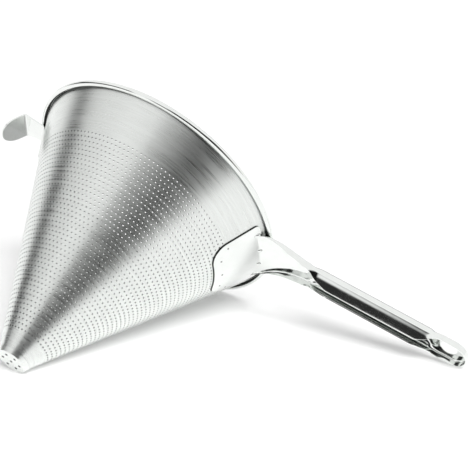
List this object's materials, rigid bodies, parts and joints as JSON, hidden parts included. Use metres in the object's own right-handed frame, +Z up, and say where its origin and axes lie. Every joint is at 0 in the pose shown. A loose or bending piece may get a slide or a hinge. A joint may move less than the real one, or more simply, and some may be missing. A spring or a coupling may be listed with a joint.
{
  "type": "conical strainer",
  "caption": "Conical fine-hole strainer of stainless steel with a rolled wire rim, a folded hollow handle with a hanging hole, and a hook for a pot's edge, lying on its side.",
  "frame": {"origin": "middle of the part's footprint box on the surface it lies on", "axes": "+Z up; the part lies on its side with the tip towards -X, the mouth towards +X and the handle towards -Y, resting on the rim, the tip cap and the end of the handle"},
  "size_m": [0.2444, 0.4242, 0.2132],
  "materials": {
    "cone_steel": "fine brushed round the cone",
    "wire_steel": "drawn wire",
    "cap_steel": "satin pressed sheet",
    "handle_steel": "mirror polished stainless sheet",
    "hook_steel": "mirror polished stainless strip",
    "weld_steel": "dull resistance weld"
  },
  "bodies": {
    "root": {"strainer_cone": "cone_steel", "rim_wire": "wire_steel", "tip_cap": "cap_steel", "handle": "handle_steel", "handle_spot_welds": "weld_steel", "pot_hook": "hook_steel", "hook_spot_welds": "weld_steel"}
  },
  "joints": []
}
